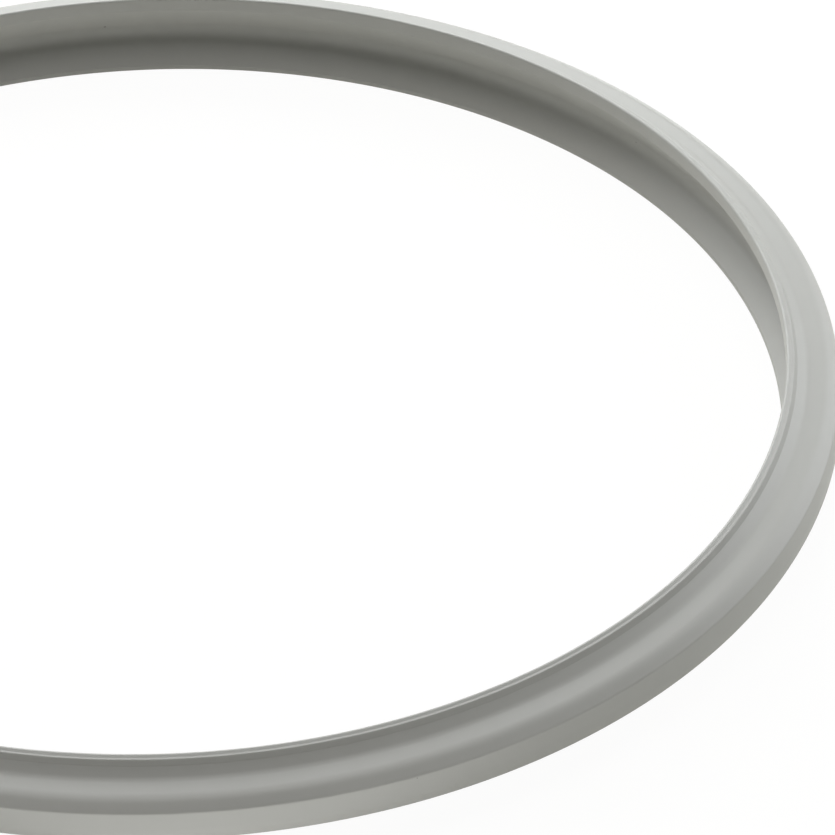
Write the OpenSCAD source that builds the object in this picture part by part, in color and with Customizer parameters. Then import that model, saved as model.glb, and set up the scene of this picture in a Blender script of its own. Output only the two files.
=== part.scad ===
// Sealing ring of a stovetop pressure cooker: one moulded silicone ring.
// The section is a "C" that opens inwards. A thick upper lip bears on the lid, a thin lower
// lip is pushed onto the pot's rim by the steam, and the outer wall sits inside the lid's rim.
// The ring stands on its lower lip. Z is the ring's axis and z = 0 is the lower lip's foot.
// Every point of the section is [distance from the axis, height].

/* [Ring] */
// Outer diameter, across the widest edge of the outer wall
ring_od = 240; // [160:1:320]
// Radial width of the section, from the lip tips to the widest edge
section_w = 10; // [8:0.1:14]
// Height of the ring, from the lower lip's foot to the top of the upper lip
section_h = 16.4; // [13:0.1:22]

/* [Upper lip] */
// Height of the upright face at the tip of the upper lip
lip_face_h = 2.6; // [1.6:0.1:3.6]
// Radial width of the raised bead along the lip's edge, down to its foot
bead_w = 1.95; // [1.6:0.05:2.6]
// Depth of the bead's foot below the top of the lip
bead_drop = 1.15; // [0.9:0.05:1.6]
// Slope of the bead's outer side, in degrees
bead_slope = 58; // [45:1:70]
// Slope of the bead's gently sloping top, in degrees
bead_top_slope = 16; // [8:1:24]
// Radius on the bead's outer edge
bead_edge_r = 0.25; // [0.1:0.05:0.35]
// Radius on the lip's upper edge
lip_edge_r = 0.5; // [0.2:0.05:0.6]
// Radius on the lip's lower edge
lip_underedge_r = 0.25; // [0.1:0.05:0.5]

/* [Top face] */
// Depth of the terrace below the top of the lip, at the terrace's inner end
terrace_drop = 2.4; // [2:0.05:3]
// Slope of the terrace, in degrees
terrace_slope = 8; // [1:1:12]
// Slope of the two flanks that join the terrace to the bead and to the shoulder, in degrees
flank_slope = 35; // [28:1:42]
// Radius of the hollow between the bead and the terrace, where the terrace is long enough for it
hollow_r = 2.6; // [0.5:0.1:4]
// Radius of the crown between the terrace and the outer flank, likewise
crown_r = 4.2; // [0.5:0.1:6]

/* [Outer wall] */
// Drop from the top of the lip to the shoulder edge at the top of the outer wall
shoulder_drop = 4.4; // [3.8:0.1:5.4]
// Radius on the shoulder edge
shoulder_r = 0.7; // [0.1:0.1:1]
// Height of the outer wall
wall_h = 5; // [4:0.1:6.2]
// Height of the straight band at the foot of the outer wall, which seats in the lid's rim
seat_h = 1.8; // [1.2:0.1:3]
// Inward lean of the wall above that band
wall_draft = 0.55; // [0.1:0.05:1]

/* [Channel] */
// Depth of the steam channel, from the lip tips to where its two sides would meet
channel_d = 5.6; // [4.5:0.1:7]
// Height of the channel's root below the widest edge of the outer wall
root_drop = 1; // [0:0.1:2]
// Radius of the channel's root
root_r = 3.2; // [1:0.1:4]

/* [Lower lip] */
// Radial width of the flat foot that the ring stands on
foot_w = 1; // [0.6:0.1:1.6]
// Height of the upright nose at the tip of the lower lip
nose_h = 1; // [0.8:0.1:1.6]
// Radius on the nose's two edges
nose_r = 0.3; // [0.1:0.05:0.35]

/* [Hidden] */
$fn = 96;
silicone_grey = [0.69, 0.69, 0.67];
// How far a corner's cut runs out past the corner's point
overshoot = 0.3;
// How far past mere touching a round cut goes, so that it crosses its two sides cleanly
bite = 0.003;
// Share of the terrace that the two roundings at its ends may take up
rounding_share = 0.95;

wall_r = ring_od / 2;
tip_r = wall_r - section_w;
shoulder_z = section_h - shoulder_drop;
seat_z = shoulder_z - wall_h;

// Where the line through p at angle a meets the line through q at angle b
function meet(p, a, q, b) =
    let(run = (q[1] - p[1] - (q[0] - p[0]) * tan(b)) / (tan(a) - tan(b)))
    p + run * [1, tan(a)];

// The section's corners before rounding
foot_inner = [tip_r, 0];
foot_outer = [tip_r + nose_r + foot_w, 0];
seat_low = [wall_r, seat_z];
seat_high = [wall_r, seat_z + seat_h];
shoulder = [wall_r - wall_draft, shoulder_z];
// The sharp point that leaves the rounded edge at the full height
lip_top = [tip_r, section_h + lip_edge_r * ((1 + sin(bead_top_slope)) / cos(bead_top_slope) - 1)];
bead_foot = [tip_r + bead_w, section_h - bead_drop];
bead_edge = meet(bead_foot, -bead_slope, lip_top, -bead_top_slope);
terrace_level = [tip_r, section_h - terrace_drop];
terrace_in = meet(bead_foot, -flank_slope, terrace_level, 0);
terrace_out = meet(terrace_in, -terrace_slope, shoulder, -flank_slope);
lip_low = [tip_r, section_h - lip_face_h];
root = [tip_r + channel_d, seat_z - root_drop];
nose_high = [tip_r, nose_h];

// Both ends of the terrace turn by the same angle, so its length limits the sum of their radii.
// On a short terrace both radii shrink by the same share.
terrace_turn = flank_slope - terrace_slope;
roundings_max = rounding_share * norm(terrace_out - terrace_in) / tan(terrace_turn / 2);
rounding_fit = min(1, roundings_max / (hollow_r + crown_r));
hollow_fit_r = hollow_r * rounding_fit;
crown_fit_r = crown_r * rounding_fit;

// Where a circle of radius r touches the two sides of the corner at v, which run towards p and q,
// with the circle's centre between: [point on p's side, centre, point on q's side]
function fillet(v, p, q, r) =
    let(to_p = (p - v) / norm(p - v), to_q = (q - v) / norm(q - v),
        half = acos(to_p * to_q) / 2, middle = (to_p + to_q) / norm(to_p + to_q))
    [v + to_p * r / tan(half), v + middle * r / sin(half), v + to_q * r / tan(half)];

module section() {
    difference() {
        polygon([foot_inner, foot_outer, seat_low, seat_high, shoulder, terrace_out,
                 each fillet(terrace_in, terrace_out, bead_foot, hollow_fit_r),
                 bead_foot, bead_edge, lip_top, lip_low,
                 each fillet(root, lip_low, nose_high, root_r), nose_high]);
        hollow(terrace_in, terrace_out, bead_foot, hollow_fit_r);
        hollow(root, lip_low, nose_high, root_r);
        raised(shoulder, terrace_out, seat_high, shoulder_r);
        raised(terrace_out, terrace_in, shoulder, crown_fit_r);
        raised(bead_edge, bead_foot, lip_top, bead_edge_r);
        raised(lip_top, bead_edge, lip_low, lip_edge_r);
        raised(lip_low, lip_top, root, lip_underedge_r);
        raised(nose_high, root, foot_inner, nose_r);
        raised(foot_inner, nose_high, foot_outer, nose_r);
    }
}

// The round cut that leaves a hollow corner filled to radius r
module hollow(v, p, q, r) {
    translate(fillet(v, p, q, r)[1]) circle(r + bite);
}

// The sliver cut off a raised corner to leave it rounded to radius r
module raised(v, p, q, r) {
    touch = fillet(v, p, q, r);
    outside = v + (v - touch[1]) / norm(v - touch[1]) * overshoot;
    difference() {
        polygon([outside, touch[0], touch[1], touch[2]]);
        translate(touch[1]) circle(r + bite);
    }
}

module sealing_ring() {
    color(silicone_grey) rotate_extrude($fn = 180) section();
}

sealing_ring();
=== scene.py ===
# %% [markdown]
# # A silicone sealing ring on a white table
#
# The object is the rubber ring that seals a pressure cooker's lid to its pot. It is a single
# moulding, 240 mm across and 16 mm tall, with a C-shaped section that opens inwards. The CAD model
# holds its size and its plain section. Here that section gets its finest edges and a satin silicone
# finish, and it is lit softly on a white table.
#
# The first step loads the CAD model as a fixed frame. Everything below takes its size from it, so the
# box around it is kept from the start.

# %% Load the frame
import math

import bpy
import numpy as np
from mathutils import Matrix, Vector


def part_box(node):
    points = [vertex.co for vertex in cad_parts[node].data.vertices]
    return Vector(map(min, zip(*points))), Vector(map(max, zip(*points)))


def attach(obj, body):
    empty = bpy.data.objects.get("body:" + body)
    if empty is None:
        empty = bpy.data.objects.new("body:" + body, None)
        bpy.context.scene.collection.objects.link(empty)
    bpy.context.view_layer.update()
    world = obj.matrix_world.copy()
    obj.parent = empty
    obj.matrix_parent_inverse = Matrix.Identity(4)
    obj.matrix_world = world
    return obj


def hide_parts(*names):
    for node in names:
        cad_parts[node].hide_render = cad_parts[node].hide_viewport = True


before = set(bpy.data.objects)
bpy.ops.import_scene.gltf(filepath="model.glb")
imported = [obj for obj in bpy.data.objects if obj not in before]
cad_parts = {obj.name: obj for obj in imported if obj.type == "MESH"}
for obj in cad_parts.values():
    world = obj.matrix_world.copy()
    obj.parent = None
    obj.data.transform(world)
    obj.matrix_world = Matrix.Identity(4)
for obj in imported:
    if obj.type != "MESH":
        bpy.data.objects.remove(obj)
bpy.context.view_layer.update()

MM = 0.001
ring_low, ring_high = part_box("sealing_ring")
wall_r = max(ring_high.x, -ring_low.x, ring_high.y, -ring_low.y)
ring_h = ring_high.z - ring_low.z
print(f"ring: {2 * wall_r / MM:.1f} mm across, {ring_h / MM:.2f} mm tall")

# %% [markdown]
# ## Camera
#
# A long lens from across the table keeps the ring close to a true ellipse, with the far side a little
# smaller than the near side. The camera aims to the right of the ring's middle, so the ring runs out
# of the picture on the left and its right half fills the frame.

# %% Camera
EYE_BACK = 0.6654
EYE_UP = 0.5096
PAN = math.radians(3.90)
TILT_DOWN = math.radians(37.60)
LENS_MM = 202.6
SENSOR_MM = 36

camera = bpy.data.objects.new("table_camera", bpy.data.cameras.new("table_camera"))
camera.data.lens = LENS_MM
camera.data.sensor_width = SENSOR_MM
camera.location = (0, -EYE_BACK, EYE_UP)
camera.rotation_euler = (math.pi / 2 - TILT_DOWN, 0, -PAN)
bpy.context.collection.objects.link(camera)
bpy.context.scene.camera = camera
print(f"camera: {camera.location.length:.3f} m from the ring's middle, {LENS_MM:.0f} mm lens")

# %% [markdown]
# ## The section
#
# A ring like this is one outline turned round an axis. The outline could be drawn as a curve, but
# most of it is straight walls with rounded corners, as the mould maker cut it. So it is written as a
# list of corners, each with its own radius, and a small function replaces every corner by an arc.
#
# Distances outward are from the lip tips, and heights are from the table, all in millimetres. The
# outline follows the CAD section and adds what the CAD leaves out. The top of the bead falls away
# from the lip's edge and then nearly levels out before the ridge, so that the edge and the ridge each
# catch their own line of light. The bead's foot and the wall's foot get tiny radii too.

# %% Sizes of the section
SECTION_W = 10.0
LIP_FACE_H = 2.6
BEAD_W = 1.95
BEAD_DROP = 1.15
BEAD_SLOPE = 57
RIDGE_AT = 1.36
DIP_AT = 0.95
DIP_SLOPE = 24
LIP_EDGE_R = 0.4
TERRACE_DROP = 2.4
TERRACE_SLOPE = 8
FLANK_SLOPE = 35
SHOULDER_DROP = 4.4
WALL_H = 5.0
SEAT_H = 1.8
WALL_DRAFT = 0.55
CHANNEL_D = 5.6
ROOT_DROP = 1.0
NOSE_H = 1.0
FOOT_W = 1.0
NOSE_R = 0.3

height = ring_h / MM
tip_r = wall_r / MM - SECTION_W
wall_top = height - SHOULDER_DROP
wall_foot = wall_top - WALL_H


def drop(run, slope):
    """How far a face falls over a horizontal run, at a slope in degrees."""
    return run * math.tan(math.radians(slope))


def crossing(p, slope_p, q, slope_q):
    """Where the line falling from p meets the line falling from q, slopes in degrees."""
    tan_p, tan_q = math.tan(math.radians(slope_p)), math.tan(math.radians(slope_q))
    run = (p[1] - q[1] - (q[0] - p[0]) * tan_q) / (tan_p - tan_q)
    return (p[0] + run, p[1] - run * tan_p)


dip_slope = math.radians(DIP_SLOPE)
lip_top = (0, height + LIP_EDGE_R * ((1 + math.sin(dip_slope)) / math.cos(dip_slope) - 1))
bead_foot = (BEAD_W, height - BEAD_DROP)
bead_ridge = (RIDGE_AT, bead_foot[1] + drop(BEAD_W - RIDGE_AT, BEAD_SLOPE))
bead_dip = (DIP_AT, lip_top[1] - drop(DIP_AT, DIP_SLOPE))
terrace_in = (BEAD_W + (TERRACE_DROP - BEAD_DROP) / drop(1, FLANK_SLOPE), height - TERRACE_DROP)
shoulder = (SECTION_W - WALL_DRAFT, wall_top)
terrace_out = crossing(terrace_in, TERRACE_SLOPE, shoulder, FLANK_SLOPE)
print(f"section: terrace from {terrace_in[0]:.2f} to {terrace_out[0]:.2f} mm out from the lip tip")

# %% Corners and their radii
FOOT_OUTER_R = 0.5
WALL_FOOT_R = 0.12
SEAT_TOP_R = 6.0
SHOULDER_R = 0.7
CROWN_R = 4.2
HOLLOW_R = 2.6
BEAD_FOOT_R = 0.12
RIDGE_R = 0.25
DIP_R = 0.4
LIP_UNDEREDGE_R = 0.25
ROOT_R = 3.2

corners = [
    ((0, 0), NOSE_R),
    ((NOSE_R + FOOT_W, 0), FOOT_OUTER_R),
    ((SECTION_W, wall_foot), WALL_FOOT_R),
    ((SECTION_W, wall_foot + SEAT_H), SEAT_TOP_R),
    (shoulder, SHOULDER_R),
    (terrace_out, CROWN_R),
    (terrace_in, HOLLOW_R),
    (bead_foot, BEAD_FOOT_R),
    (bead_ridge, RIDGE_R),
    (bead_dip, DIP_R),
    (lip_top, LIP_EDGE_R),
    ((0, height - LIP_FACE_H), LIP_UNDEREDGE_R),
    ((CHANNEL_D, wall_foot - ROOT_DROP), ROOT_R),
    ((0, NOSE_H), NOSE_R),
]
print(f"outline: {len(corners)} corners")

# %% Round the corners and turn the outline
ARC_STEP = math.radians(5)
ROUND_STEPS = 576


def rounded(corners):
    """The outline's points, with each corner replaced by an arc of its radius."""
    points = []
    for i, (at, radius) in enumerate(corners):
        here = Vector(at)
        back = (Vector(corners[i - 1][0]) - here).normalized()
        ahead = (Vector(corners[(i + 1) % len(corners)][0]) - here).normalized()
        half = back.angle(ahead) / 2
        centre = here + (back + ahead).normalized() * radius / math.sin(half)
        start = here + back * radius / math.tan(half) - centre
        end = here + ahead * radius / math.tan(half) - centre
        turn = start.angle_signed(end)
        steps = max(2, math.ceil(abs(turn) / ARC_STEP))
        for k in range(steps + 1):
            angle = -turn * k / steps
            cos_a, sin_a = math.cos(angle), math.sin(angle)
            points.append((centre.x + start.x * cos_a - start.y * sin_a,
                           centre.y + start.x * sin_a + start.y * cos_a))
    return np.array(points)


def revolve(name, outline, steps):
    """A closed mesh: the outline, in metres from the axis and up, turned once round Z."""
    angles = np.linspace(0, 2 * math.pi, steps, endpoint=False)
    out, up = outline[:, 0], outline[:, 1]
    verts = np.stack([np.outer(np.cos(angles), out), np.outer(np.sin(angles), out),
                      np.tile(up, (steps, 1))], axis=-1).reshape(-1, 3)
    n = len(outline)
    turn, along = np.meshgrid(np.arange(steps), np.arange(n), indexing="ij")
    next_turn, next_along = (turn + 1) % steps, (along + 1) % n
    faces = np.stack([turn * n + along, next_turn * n + along,
                      next_turn * n + next_along, turn * n + next_along], axis=-1)
    mesh = bpy.data.meshes.new(name)
    mesh.from_pydata(verts.tolist(), [], faces.reshape(-1, 4).tolist())
    mesh.shade_smooth()
    obj = bpy.data.objects.new(name, mesh)
    bpy.context.collection.objects.link(obj)
    return obj


outline = rounded(corners) * MM + np.array([tip_r * MM, 0])
ring = revolve("silicone_ring", outline, ROUND_STEPS)
print(f"ring mesh: {len(outline)} points round the section, {len(ring.data.polygons)} faces")

# %% [markdown]
# ## Silicone
#
# Moulded silicone is matt to satin and almost evenly grey. Up close three small things keep it from
# looking like plain plastic: a cloudy unevenness in the colour, a soft skin whose streaks run round
# the ring as the rubber flowed in the mould, and the dust that silicone always picks up.
#
# They could be painted as image textures. Noise in the object's own coordinates does the same without
# a seam, and it stays sharp at any distance. Each effect is a node group with named sockets, so it can
# be placed in any material with other values.

# %% A helper for node groups
def node_group(name, inputs, outputs):
    """An empty shader node group with the named sockets: {name: (type, default)}."""
    group = bpy.data.node_groups.new(name, "ShaderNodeTree")
    for socket, (kind, default) in inputs.items():
        item = group.interface.new_socket(socket, in_out="INPUT", socket_type=kind)
        item.default_value = default
    for socket, kind in outputs.items():
        group.interface.new_socket(socket, in_out="OUTPUT", socket_type=kind)
    return group, group.nodes.new("NodeGroupInput"), group.nodes.new("NodeGroupOutput")


def add_math(tree, operation, a, b):
    """A Math node whose two inputs are sockets or plain numbers; returns its output."""
    node = tree.nodes.new("ShaderNodeMath")
    node.operation = operation
    for socket, value in zip(node.inputs, (a, b)):
        if isinstance(value, (int, float)):
            socket.default_value = value
        else:
            tree.links.new(value, socket)
    return node.outputs["Value"]


def add_noise(tree, vector, scale, detail):
    """A Noise node at the given place and scale; returns its value output."""
    node = tree.nodes.new("ShaderNodeTexNoise")
    node.inputs["Detail"].default_value = detail
    tree.links.new(vector, node.inputs["Vector"])
    if isinstance(scale, (int, float)):
        node.inputs["Scale"].default_value = scale
    else:
        tree.links.new(scale, node.inputs["Scale"])
    return node.outputs["Fac"]


# %% [markdown]
# ### Cloudy colour
#
# Pigment never mixes perfectly into silicone. Two sizes of noise are averaged and used to slide
# between a slightly lighter and a slightly darker grey. The greys differ by less than a tenth, and the
# noise stays near its middle, so the clouds are felt and not seen.

# %% Group: cloudy colour
FINER_CLOUDS = 9

cloudy, group_in, group_out = node_group(
    "cloudy_silicone",
    {"Light": ("NodeSocketColor", (0.5, 0.5, 0.5, 1)), "Dark": ("NodeSocketColor", (0.4, 0.4, 0.4, 1)),
     "Cloud Scale": ("NodeSocketFloat", 25.0)},
    {"Color": "NodeSocketColor"})
place = cloudy.nodes.new("ShaderNodeTexCoord").outputs["Object"]
large = add_noise(cloudy, place, group_in.outputs["Cloud Scale"], 2)
fine_scale = add_math(cloudy, "MULTIPLY", group_in.outputs["Cloud Scale"], FINER_CLOUDS)
small = add_noise(cloudy, place, fine_scale, 3)
average = add_math(cloudy, "MULTIPLY", add_math(cloudy, "ADD", large, small), 0.5)
mix = cloudy.nodes.new("ShaderNodeMix")
mix.data_type = "RGBA"
cloudy.links.new(average, mix.inputs["Factor"])
cloudy.links.new(group_in.outputs["Light"], mix.inputs["A"])
cloudy.links.new(group_in.outputs["Dark"], mix.inputs["B"])
cloudy.links.new(mix.outputs["Result"], group_out.inputs["Color"])
print("group:", cloudy.name)

# %% [markdown]
# ### Moulded skin
#
# The skin is a height, which a Bump node turns into normals. Part of it is a fine even grain from the
# mould's blasted steel. The rest is a faint streak that runs round the ring: noise looked up by
# distance from the axis and by height only, so it changes across the section and hardly along it.

# %% Group: moulded skin
DRIFT_ALONG_RING = 0.004

skin_relief, group_in, group_out = node_group(
    "moulded_skin",
    {"Grain Scale": ("NodeSocketFloat", 1800.0), "Streak Scale": ("NodeSocketFloat", 600.0),
     "Streak Share": ("NodeSocketFloat", 0.5)},
    {"Height": "NodeSocketFloat"})
place = skin_relief.nodes.new("ShaderNodeTexCoord").outputs["Object"]
split = skin_relief.nodes.new("ShaderNodeSeparateXYZ")
skin_relief.links.new(place, split.inputs["Vector"])
x_squared = add_math(skin_relief, "MULTIPLY", split.outputs["X"], split.outputs["X"])
y_squared = add_math(skin_relief, "MULTIPLY", split.outputs["Y"], split.outputs["Y"])
from_axis = add_math(skin_relief, "SQRT", add_math(skin_relief, "ADD", x_squared, y_squared), 0)
round_turn = add_math(skin_relief, "ARCTAN2", split.outputs["Y"], split.outputs["X"])
across = skin_relief.nodes.new("ShaderNodeCombineXYZ")
skin_relief.links.new(from_axis, across.inputs["X"])
drift = add_math(skin_relief, "MULTIPLY", round_turn, DRIFT_ALONG_RING)
skin_relief.links.new(drift, across.inputs["Y"])
skin_relief.links.new(split.outputs["Z"], across.inputs["Z"])
grain = add_noise(skin_relief, place, group_in.outputs["Grain Scale"], 2)
streak = add_noise(skin_relief, across.outputs["Vector"], group_in.outputs["Streak Scale"], 2)
streak_part = add_math(skin_relief, "MULTIPLY", streak, group_in.outputs["Streak Share"])
skin_relief.links.new(add_math(skin_relief, "ADD", grain, streak_part), group_out.inputs["Height"])
print("group:", skin_relief.name)

# %% [markdown]
# ### Dust
#
# Silicone holds on to lint and dust. Cells of a Voronoi texture give one possible speck each, and a
# random number per cell keeps only a few of them, so the specks are sparse and uneven.

# %% Group: dust specks
dust, group_in, group_out = node_group(
    "dust_specks",
    {"Cell Scale": ("NodeSocketFloat", 260.0), "Speck Size": ("NodeSocketFloat", 0.07),
     "Kept Share": ("NodeSocketFloat", 0.05)},
    {"Mask": "NodeSocketFloat"})
place = dust.nodes.new("ShaderNodeTexCoord").outputs["Object"]
cells = dust.nodes.new("ShaderNodeTexVoronoi")
dust.links.new(place, cells.inputs["Vector"])
dust.links.new(group_in.outputs["Cell Scale"], cells.inputs["Scale"])
in_speck = add_math(dust, "LESS_THAN", cells.outputs["Distance"], group_in.outputs["Speck Size"])
cell_number = dust.nodes.new("ShaderNodeSeparateColor")
dust.links.new(cells.outputs["Color"], cell_number.inputs["Color"])
kept = add_math(dust, "LESS_THAN", cell_number.outputs["Red"], group_in.outputs["Kept Share"])
dust.links.new(add_math(dust, "MULTIPLY", in_speck, kept), group_out.inputs["Mask"])
print("group:", dust.name)

# %% [markdown]
# ### The material
#
# The Principled shader takes the cloudy grey as its base colour, with the dust laid over it slightly
# darker. The roughness is high enough that the lights show only as soft bright bands along
# the bead and the shoulder. The grain is a few microns deep, so the bump stays weak.

# %% Material: grey silicone
SILICONE_ROUGHNESS = 0.45
SKIN_DEPTH = 0.004 * MM
LIGHT_GREY = (0.434, 0.436, 0.413, 1)
DARK_GREY = (0.404, 0.406, 0.383, 1)
DUST_GREY = (0.20, 0.19, 0.17, 1)
CLOUD_SCALE = 30.0
SPECK_CELLS = 240.0
SPECK_SIZE = 0.06
SPECKS_KEPT = 0.04
GRAIN_SCALE = 1500.0
STREAK_SCALE = 900.0
STREAK_SHARE = 0.8


def place_group(tree, group, **values):
    """The node group as a node of this material, with its own values."""
    node = tree.nodes.new("ShaderNodeGroup")
    node.node_tree = group
    for socket, value in values.items():
        node.inputs[socket.replace("_", " ")].default_value = value
    return node


silicone = bpy.data.materials.new("grey_silicone")
silicone.use_nodes = True
tree = silicone.node_tree
shader = tree.nodes["Principled BSDF"]
shader.inputs["Roughness"].default_value = SILICONE_ROUGHNESS
grey = place_group(tree, cloudy, Light=LIGHT_GREY, Dark=DARK_GREY, Cloud_Scale=CLOUD_SCALE)
specks = place_group(tree, dust, Cell_Scale=SPECK_CELLS, Speck_Size=SPECK_SIZE, Kept_Share=SPECKS_KEPT)
relief = place_group(tree, skin_relief, Grain_Scale=GRAIN_SCALE, Streak_Scale=STREAK_SCALE,
                     Streak_Share=STREAK_SHARE)

dusty = tree.nodes.new("ShaderNodeMix")
dusty.data_type = "RGBA"
dusty.inputs["B"].default_value = DUST_GREY
tree.links.new(specks.outputs["Mask"], dusty.inputs["Factor"])
tree.links.new(grey.outputs["Color"], dusty.inputs["A"])
tree.links.new(dusty.outputs["Result"], shader.inputs["Base Color"])

bump = tree.nodes.new("ShaderNodeBump")
bump.inputs["Distance"].default_value = SKIN_DEPTH
tree.links.new(relief.outputs["Height"], bump.inputs["Height"])
tree.links.new(bump.outputs["Normal"], shader.inputs["Normal"])
ring.data.materials.append(silicone)
print(f"material: {silicone.name}, {len(tree.nodes)} nodes")

# %% [markdown]
# ## Table
#
# The ring lies on a white table lit so evenly that its shadows wash out, as on a light table. The
# table glows a little by itself and reflects the lamps as white paint would, and that is what lights
# the ring from below. What the camera sees of it is nearly pure white: a Light Path node mixes the
# lit surface with plain white for camera rays only. A trace of the true surface is left in, so that
# a faint shade still shows where the ring stands.

# %% Table
TABLE_HALF_WIDTH = 3.0
TABLE_WHITE = (0.60, 0.60, 0.57, 1)
TABLE_GLOW = 0.41
TABLE_GLOW_COLOUR = (1.0, 0.99, 0.95, 1)
TABLE_WASH_OUT = 0.93

table_white = bpy.data.materials.new("white_table")
table_white.use_nodes = True
tree = table_white.node_tree
paint = tree.nodes["Principled BSDF"]
paint.inputs["Base Color"].default_value = TABLE_WHITE
paint.inputs["Roughness"].default_value = 1.0
paint.inputs["Emission Color"].default_value = TABLE_GLOW_COLOUR
paint.inputs["Emission Strength"].default_value = TABLE_GLOW
washed_out = tree.nodes.new("ShaderNodeEmission")
wash = tree.nodes.new("ShaderNodeMixShader")
to_camera = tree.nodes.new("ShaderNodeLightPath").outputs["Is Camera Ray"]
tree.links.new(add_math(tree, "MULTIPLY", to_camera, TABLE_WASH_OUT), wash.inputs["Fac"])
tree.links.new(paint.outputs["BSDF"], wash.inputs[1])
tree.links.new(washed_out.outputs["Emission"], wash.inputs[2])
tree.links.new(wash.outputs["Shader"], tree.nodes["Material Output"].inputs["Surface"])

table_mesh = bpy.data.meshes.new("table_top")
table_mesh.from_pydata([(side * TABLE_HALF_WIDTH, end * TABLE_HALF_WIDTH, 0)
                        for side, end in ((-1, -1), (1, -1), (1, 1), (-1, 1))], [], [(0, 1, 2, 3)])
table_mesh.materials.append(table_white)
table_top = bpy.data.objects.new("table_top", table_mesh)
table_top.location.z = ring_low.z
bpy.context.collection.objects.link(table_top)
print(f"table: {2 * TABLE_HALF_WIDTH:.0f} m square, at height {ring_low.z:.3f} m")

# %% [markdown]
# ## Lights
#
# Softboxes stand behind the ring and one hangs over it. Light that comes from behind and above leaves
# the faces that lean towards the camera in soft shade, and that shows the relief of the top face. A
# white card lies on the table in front of the ring and lifts the outer wall, which would be dark
# otherwise. Each lamp is placed by its compass direction, its distance out from the ring's middle and
# its height, and it turns to face the ring.

# %% Softboxes
SOFTBOX_SIZE = 0.7
DAYLIGHT = (0.96, 0.98, 1.0)
WARM_WHITE = (1.0, 0.99, 0.97)


def softbox(name, azimuth, out, up, watts, colour):
    """A square lamp facing the ring's middle; azimuth in degrees, turning left from +X."""
    lamp = bpy.data.lights.new(name, "AREA")
    lamp.shape = "SQUARE"
    lamp.size = SOFTBOX_SIZE
    lamp.energy = watts
    lamp.color = colour
    obj = bpy.data.objects.new(name, lamp)
    angle = math.radians(azimuth)
    obj.location = (out * math.cos(angle), out * math.sin(angle), up)
    obj.rotation_euler = Vector(obj.location).to_track_quat("Z", "Y").to_euler()
    obj.visible_camera = False
    bpy.context.collection.objects.link(obj)
    print(f"{name}: {watts} W")


softbox("right_rear_softbox", 30, 0.98, 0.41, 6.0, DAYLIGHT)
softbox("left_rear_softbox", 120, 0.98, 0.41, 4.8, DAYLIGHT)
softbox("rear_softbox", 90, 0.79, 0.62, 6.6, DAYLIGHT)
softbox("left_softbox", 150, 0.79, 0.62, 1.9, WARM_WHITE)
softbox("overhead_softbox", 0, 0.0, 1.0, 4.2, WARM_WHITE)

# %% White card in front of the ring
CARD_SIZE = (0.30, 0.20)
CARD_MIDDLE = (0.03, -0.225)
CARD_LIFT = 0.002
CARD_WATTS = 0.24

card = bpy.data.lights.new("white_card", "AREA")
card.shape = "RECTANGLE"
card.size, card.size_y = CARD_SIZE
card.energy = CARD_WATTS
card_obj = bpy.data.objects.new("white_card", card)
card_obj.location = (*CARD_MIDDLE, ring_low.z + CARD_LIFT)
card_obj.rotation_euler = (math.pi, 0, 0)
card_obj.visible_camera = False
bpy.context.collection.objects.link(card_obj)
print(f"white card: {CARD_WATTS} W")

# %% [markdown]
# ## World
#
# The air round the table is white to the camera and dark to everything else. So the picture's
# background is white, and all the light on the ring comes from the lamps, the card and the table.

# %% World
world = bpy.data.worlds.new("studio")
world.use_nodes = True
tree = world.node_tree
background = tree.nodes["Background"]
background.inputs["Color"].default_value = (1, 1, 1, 1)
seen = tree.nodes.new("ShaderNodeLightPath").outputs["Is Camera Ray"]
tree.links.new(seen, background.inputs["Strength"])
bpy.context.scene.world = world
bpy.context.scene.view_settings.view_transform = "Standard"
print(f"world: {world.name}, white to the camera only")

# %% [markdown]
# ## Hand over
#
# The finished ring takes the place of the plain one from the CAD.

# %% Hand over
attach(ring, "root")
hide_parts("sealing_ring")
